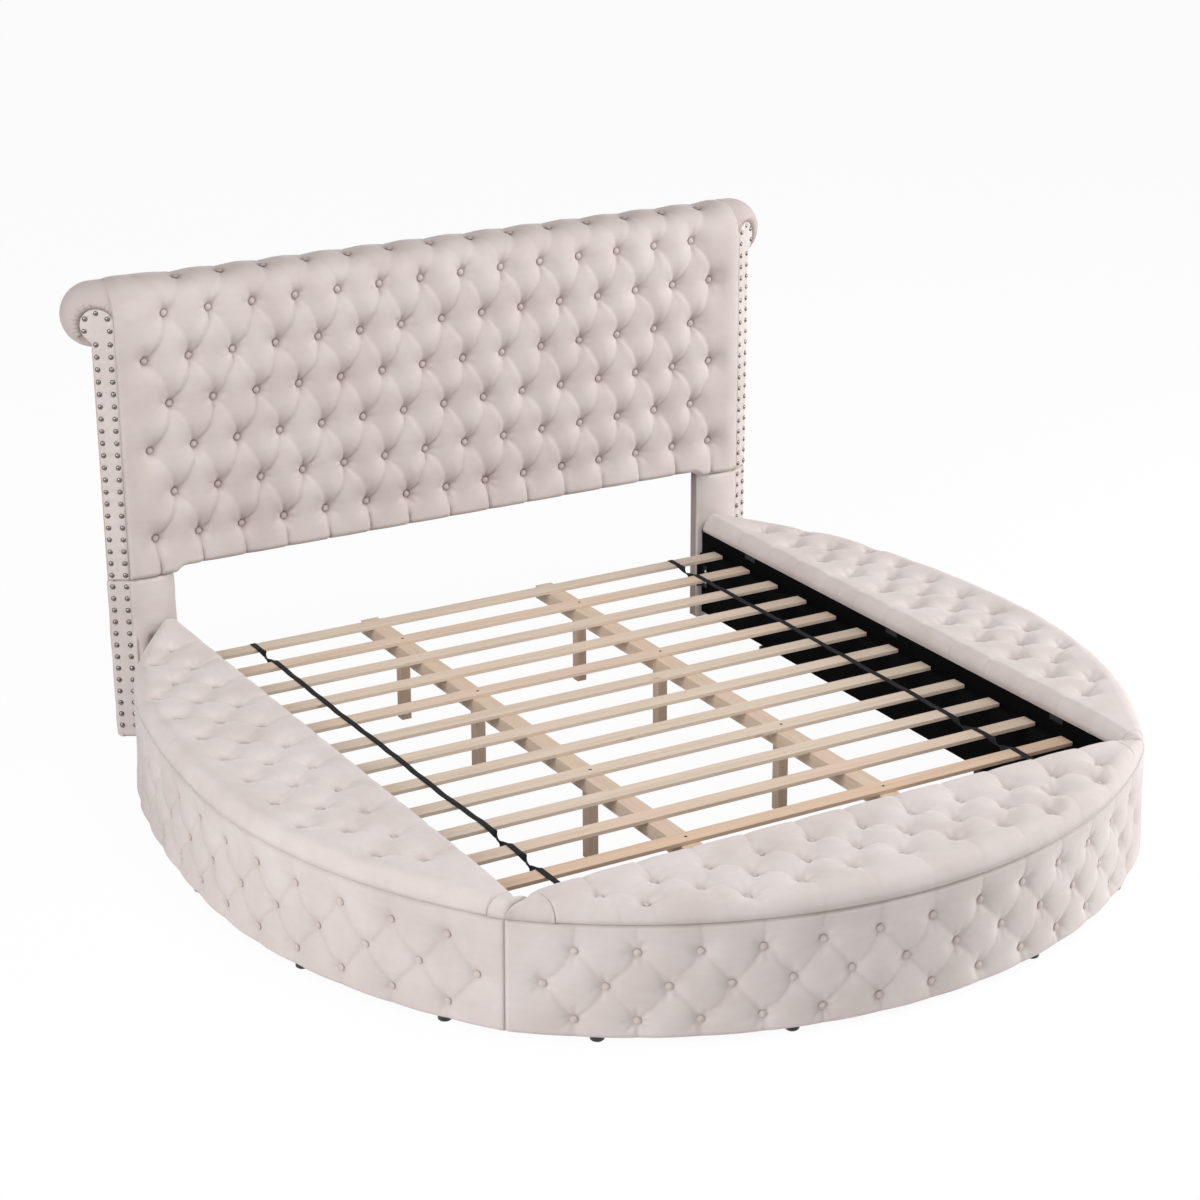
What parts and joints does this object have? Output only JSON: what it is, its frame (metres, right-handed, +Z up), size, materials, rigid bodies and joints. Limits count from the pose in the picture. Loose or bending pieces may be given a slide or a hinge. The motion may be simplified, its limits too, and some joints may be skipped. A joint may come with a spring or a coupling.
{
  "type": "round bed",
  "caption": "Round upholstered bed: curved padded storage benches with lifting lids round a slatted base, and a button-tufted headboard with a rolled top and nailed edges",
  "frame": {"origin": "on the floor under the middle of the bed's box", "axes": "+Z up, +Y towards the headboard, +X to the right seen from the foot"},
  "size_m": [2.8234, 2.9048, 1.4697],
  "materials": {
    "velvet": "pale ivory velvet",
    "black_lining": "black non-woven lining",
    "plywood": "bare plywood",
    "timber": "bare timber",
    "pine": "pale sanded pine",
    "webbing": "black woven webbing",
    "chrome_nails": "polished",
    "steel": "zinc plated",
    "black_plastic": "matt black"
  },
  "bodies": {
    "bed_frame": {"rail_cover_right": "velvet", "rail_cover_left": "velvet", "rail_cover_foot": "velvet", "rail_buttons": "velvet", "corner_pad_right": "velvet", "corner_pad_left": "velvet", "headboard_cushion": "velvet", "headboard_roll": "velvet", "headboard_buttons": "velvet", "facing_right": "velvet", "facing_left": "velvet", "roll_end_right": "velvet", "roll_end_left": "velvet", "leg_cover_right": "velvet", "leg_cover_left": "velvet", "inner_panel_right": "black_lining", "inner_panel_left": "black_lining", "inner_panel_foot": "black_lining", "headboard_back_cover": "black_lining", "slat_ledgers": "black_lining", "wall_right": "plywood", "wall_left": "plywood", "wall_foot": "plywood", "base_board_right": "plywood", "base_board_left": "plywood", "base_board_foot": "plywood", "end_panels": "plywood", "headboard_board": "plywood", "headboard_top_rail": "timber", "headboard_post_right": "timber", "headboard_post_left": "timber", "headboard_leg_right": "timber", "headboard_leg_left": "timber", "slats": "pine", "centre_rails": "pine", "base_legs": "pine", "straps": "webbing", "facing_nails": "chrome_nails", "leg_nails": "chrome_nails", "hinge_leaf_fixed_right": "steel", "hinge_leaf_fixed_left": "steel", "hinge_leaf_fixed_foot": "steel", "hinge_pins": "steel", "joint_plates": "steel", "bed_brackets": "steel", "frame_bolts": "steel", "slat_screws": "steel", "glides": "black_plastic"},
    "lid_right": {"lid_board_right": "plywood", "lid_cushion_right": "velvet", "lid_buttons_right": "velvet", "hinge_leaf_moving_right": "steel"},
    "lid_left": {"lid_board_left": "plywood", "lid_cushion_left": "velvet", "lid_buttons_left": "velvet", "hinge_leaf_moving_left": "steel"},
    "lid_foot": {"lid_board_foot": "plywood", "lid_cushion_foot": "velvet", "lid_buttons_foot": "velvet", "hinge_leaf_moving_foot": "steel"}
  },
  "joints": [
    {"name": "lid_right_hinge", "type": "hinge", "parent": "bed_frame", "child": "lid_right", "pos_m": [0.9882, 0.12, 0.3287], "axis": [0, -1, 0], "range_deg": [0, 85]},
    {"name": "lid_left_hinge", "type": "hinge", "parent": "bed_frame", "child": "lid_left", "pos_m": [-0.9882, 0.12, 0.3287], "axis": [0, 1, 0], "range_deg": [0, 85]},
    {"name": "lid_foot_hinge", "type": "hinge", "parent": "bed_frame", "child": "lid_foot", "pos_m": [0, -1.01463, 0.3287], "axis": [-1, 0, 0], "range_deg": [0, 85]}
  ]
}
